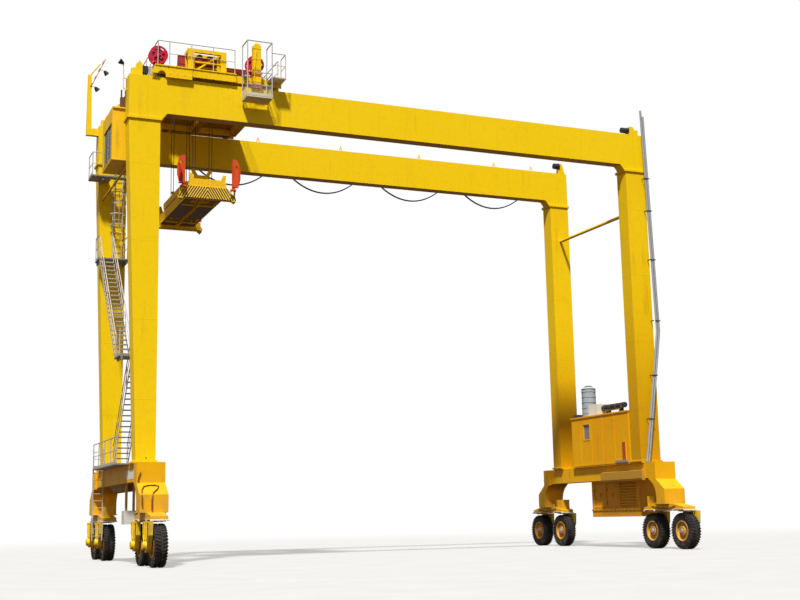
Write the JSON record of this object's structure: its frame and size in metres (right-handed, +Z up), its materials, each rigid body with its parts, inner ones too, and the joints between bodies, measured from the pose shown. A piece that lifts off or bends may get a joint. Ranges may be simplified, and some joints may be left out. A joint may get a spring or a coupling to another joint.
{
  "type": "rubber tyred gantry crane",
  "caption": "Container yard gantry crane on steered rubber tyred wheels, with a trolley, hanging cab, telescopic spreader, generator and access stairs.",
  "frame": {"origin": "centre of the bounding box's bottom, on the ground", "axes": "+X along the span from the stair side to the generator side, +Y along the gantry travel from the near portal to the far portal, +Z up"},
  "size_m": [26.19, 14.2998, 23.1131],
  "materials": {
    "near_girder": "bright yellow paint",
    "far_girder": "bright yellow paint",
    "near_left_leg": "bright yellow paint",
    "far_left_leg": "bright yellow paint",
    "near_right_leg": "orange-yellow paint",
    "far_right_leg": "orange-yellow paint",
    "left_sill": "bright yellow paint",
    "right_sill": "orange-yellow paint",
    "leg_ties": "bright yellow paint",
    "near_left_bogie": "bright yellow paint",
    "far_left_bogie": "bright yellow paint",
    "near_right_bogie": "orange-yellow paint",
    "far_right_bogie": "orange-yellow paint",
    "machine_house": "orange-yellow paint",
    "generator_housing": "orange-yellow paint",
    "roof_equipment": "light grey paint",
    "exhaust_pipe": "dull grey steel pipe",
    "lower_stair": "galvanised steel, weathered",
    "upper_stair": "galvanised steel, weathered",
    "platforms": "galvanised grating, weathered",
    "guard_rails": "galvanised tube",
    "access_ladders": "galvanised steel",
    "festoon_track": "bright yellow paint",
    "festoon_cable": "flat dark blue trailing cable",
    "control_cabinet": "light grey paint",
    "lamp_mast": "bright yellow paint",
    "trolley_frame": "bright yellow paint",
    "hoist_machinery": "brown primer and grease",
    "hoist_drum": "oiled brown steel",
    "trolley_wheels": "worn steel",
    "trolley_rails": "bright yellow paint",
    "service_basket": "faded cream paint",
    "cable_reels": "red paint",
    "cab_shell": "bright yellow paint",
    "cab_glazing": "clear tinted cab glass",
    "hoist_ropes": "greased steel wire rope",
    "headblock": "bright yellow paint",
    "spreader_frame": "bright yellow paint",
    "near_spreader_end": "bright yellow paint",
    "far_spreader_end": "bright yellow paint",
    "near_left_guide": "scuffed red-orange paint",
    "near_right_guide": "scuffed red-orange paint",
    "far_left_guide": "scuffed red-orange paint",
    "far_right_guide": "scuffed red-orange paint",
    "yoke_1": "orange-yellow paint",
    "wheel_1": "black tyre on an orange rim",
    "yoke_2": "orange-yellow paint",
    "wheel_2": "black tyre on an orange rim",
    "yoke_3": "orange-yellow paint",
    "wheel_3": "black tyre on an orange rim",
    "yoke_4": "orange-yellow paint",
    "wheel_4": "black tyre on an orange rim",
    "yoke_5": "orange-yellow paint",
    "wheel_5": "black tyre on an orange rim",
    "yoke_6": "orange-yellow paint",
    "wheel_6": "black tyre on an orange rim",
    "yoke_7": "orange-yellow paint",
    "wheel_7": "black tyre on an orange rim",
    "yoke_8": "orange-yellow paint",
    "wheel_8": "black tyre on an orange rim"
  },
  "bodies": {
    "portal": {"near_girder": "near_girder", "far_girder": "far_girder", "near_left_leg": "near_left_leg", "far_left_leg": "far_left_leg", "near_right_leg": "near_right_leg", "far_right_leg": "far_right_leg", "left_sill": "left_sill", "right_sill": "right_sill", "leg_ties": "leg_ties", "near_left_bogie": "near_left_bogie", "far_left_bogie": "far_left_bogie", "near_right_bogie": "near_right_bogie", "far_right_bogie": "far_right_bogie", "machine_house": "machine_house", "generator_housing": "generator_housing", "roof_equipment": "roof_equipment", "exhaust_pipe": "exhaust_pipe", "lower_stair": "lower_stair", "upper_stair": "upper_stair", "platforms": "platforms", "guard_rails": "guard_rails", "access_ladders": "access_ladders", "festoon_track": "festoon_track", "festoon_cable": "festoon_cable", "control_cabinet": "control_cabinet", "lamp_mast": "lamp_mast"},
    "trolley": {"trolley_frame": "trolley_frame", "hoist_machinery": "hoist_machinery", "hoist_drum": "hoist_drum", "trolley_wheels": "trolley_wheels", "trolley_rails": "trolley_rails", "service_basket": "service_basket", "cable_reels": "cable_reels", "cab_shell": "cab_shell", "cab_glazing": "cab_glazing", "hoist_ropes": "hoist_ropes"},
    "spreader": {"headblock": "headblock", "spreader_frame": "spreader_frame"},
    "near_end": {"near_spreader_end": "near_spreader_end"},
    "far_end": {"far_spreader_end": "far_spreader_end"},
    "near_left_guide": {"near_left_guide": "near_left_guide"},
    "near_right_guide": {"near_right_guide": "near_right_guide"},
    "far_left_guide": {"far_left_guide": "far_left_guide"},
    "far_right_guide": {"far_right_guide": "far_right_guide"},
    "yoke_1": {"yoke_1": "yoke_1"},
    "wheel_1": {"wheel_1": "wheel_1"},
    "yoke_2": {"yoke_2": "yoke_2"},
    "wheel_2": {"wheel_2": "wheel_2"},
    "yoke_3": {"yoke_3": "yoke_3"},
    "wheel_3": {"wheel_3": "wheel_3"},
    "yoke_4": {"yoke_4": "yoke_4"},
    "wheel_4": {"wheel_4": "wheel_4"},
    "yoke_5": {"yoke_5": "yoke_5"},
    "wheel_5": {"wheel_5": "wheel_5"},
    "yoke_6": {"yoke_6": "yoke_6"},
    "wheel_6": {"wheel_6": "wheel_6"},
    "yoke_7": {"yoke_7": "yoke_7"},
    "wheel_7": {"wheel_7": "wheel_7"},
    "yoke_8": {"yoke_8": "yoke_8"},
    "wheel_8": {"wheel_8": "wheel_8"}
  },
  "joints": [
    {"name": "trolley_travel", "type": "slide", "parent": "portal", "child": "trolley", "axis": [1, 0, 0], "range_m": [0, 17.2]},
    {"name": "hoist", "type": "slide", "parent": "trolley", "child": "spreader", "axis": [0, 0, 1], "range_m": [-12.4, 0.9], "deforming": ["hoist_ropes"]},
    {"name": "near_end_slide", "type": "slide", "parent": "spreader", "child": "near_end", "axis": [0, -1, 0], "range_m": [0, 3.065]},
    {"name": "far_end_slide", "type": "slide", "parent": "spreader", "child": "far_end", "axis": [0, 1, 0], "range_m": [0, 3.065]},
    {"name": "near_left_guide_turn", "type": "hinge", "parent": "near_end", "child": "near_left_guide", "pos_m": [-10.102, -3.26, 15.39], "axis": [1, 0, 0], "range_deg": [0, 180]},
    {"name": "near_right_guide_turn", "type": "hinge", "parent": "near_end", "child": "near_right_guide", "pos_m": [-7.958, -3.26, 15.39], "axis": [1, 0, 0], "range_deg": [0, 180]},
    {"name": "far_left_guide_turn", "type": "hinge", "parent": "far_end", "child": "far_left_guide", "pos_m": [-10.102, 3.06, 15.39], "axis": [-1, 0, 0], "range_deg": [0, 180]},
    {"name": "far_right_guide_turn", "type": "hinge", "parent": "far_end", "child": "far_right_guide", "pos_m": [-7.958, 3.06, 15.39], "axis": [-1, 0, 0], "range_deg": [0, 180]},
    {"name": "yoke_1_steer", "type": "hinge", "parent": "portal", "child": "yoke_1", "pos_m": [-11.6325, -6.35, 1.6], "axis": [0, 0, 1], "range_deg": [0, 90]},
    {"name": "yoke_2_steer", "type": "hinge", "parent": "portal", "child": "yoke_2", "pos_m": [-11.6325, -4.1, 1.6], "axis": [0, 0, 1], "range_deg": [0, 90]},
    {"name": "yoke_3_steer", "type": "hinge", "parent": "portal", "child": "yoke_3", "pos_m": [-11.6325, 4.1, 1.6], "axis": [0, 0, 1], "range_deg": [0, 90]},
    {"name": "yoke_4_steer", "type": "hinge", "parent": "portal", "child": "yoke_4", "pos_m": [-11.6325, 6.35, 1.6], "axis": [0, 0, 1], "range_deg": [0, 90]},
    {"name": "yoke_5_steer", "type": "hinge", "parent": "portal", "child": "yoke_5", "pos_m": [11.8365, -6.35, 1.6], "axis": [0, 0, 1], "range_deg": [0, 90]},
    {"name": "yoke_6_steer", "type": "hinge", "parent": "portal", "child": "yoke_6", "pos_m": [11.8365, -4.1, 1.6], "axis": [0, 0, 1], "range_deg": [0, 90]},
    {"name": "yoke_7_steer", "type": "hinge", "parent": "portal", "child": "yoke_7", "pos_m": [11.8365, 4.1, 1.6], "axis": [0, 0, 1], "range_deg": [0, 90]},
    {"name": "yoke_8_steer", "type": "hinge", "parent": "portal", "child": "yoke_8", "pos_m": [11.8365, 6.35, 1.6], "axis": [0, 0, 1], "range_deg": [0, 90]},
    {"name": "wheel_1_roll", "type": "hinge", "parent": "yoke_1", "child": "wheel_1", "pos_m": [-11.6325, -6.35, 0.8], "axis": [1, 0, 0], "continuous": true},
    {"name": "wheel_2_roll", "type": "hinge", "parent": "yoke_2", "child": "wheel_2", "pos_m": [-11.6325, -4.1, 0.8], "axis": [1, 0, 0], "continuous": true},
    {"name": "wheel_3_roll", "type": "hinge", "parent": "yoke_3", "child": "wheel_3", "pos_m": [-11.6325, 4.1, 0.8], "axis": [1, 0, 0], "continuous": true},
    {"name": "wheel_4_roll", "type": "hinge", "parent": "yoke_4", "child": "wheel_4", "pos_m": [-11.6325, 6.35, 0.8], "axis": [1, 0, 0], "continuous": true},
    {"name": "wheel_5_roll", "type": "hinge", "parent": "yoke_5", "child": "wheel_5", "pos_m": [11.8365, -6.35, 0.8], "axis": [1, 0, 0], "continuous": true},
    {"name": "wheel_6_roll", "type": "hinge", "parent": "yoke_6", "child": "wheel_6", "pos_m": [11.8365, -4.1, 0.8], "axis": [1, 0, 0], "continuous": true},
    {"name": "wheel_7_roll", "type": "hinge", "parent": "yoke_7", "child": "wheel_7", "pos_m": [11.8365, 4.1, 0.8], "axis": [1, 0, 0], "continuous": true},
    {"name": "wheel_8_roll", "type": "hinge", "parent": "yoke_8", "child": "wheel_8", "pos_m": [11.8365, 6.35, 0.8], "axis": [1, 0, 0], "continuous": true}
  ],
  "couplings": [
    {"joint": "far_end_slide", "follows": "near_end_slide", "ratio": 1},
    {"joint": "yoke_2_steer", "follows": "yoke_1_steer", "ratio": 1},
    {"joint": "yoke_3_steer", "follows": "yoke_4_steer", "ratio": 1},
    {"joint": "yoke_6_steer", "follows": "yoke_5_steer", "ratio": 1},
    {"joint": "yoke_7_steer", "follows": "yoke_8_steer", "ratio": 1}
  ]
}
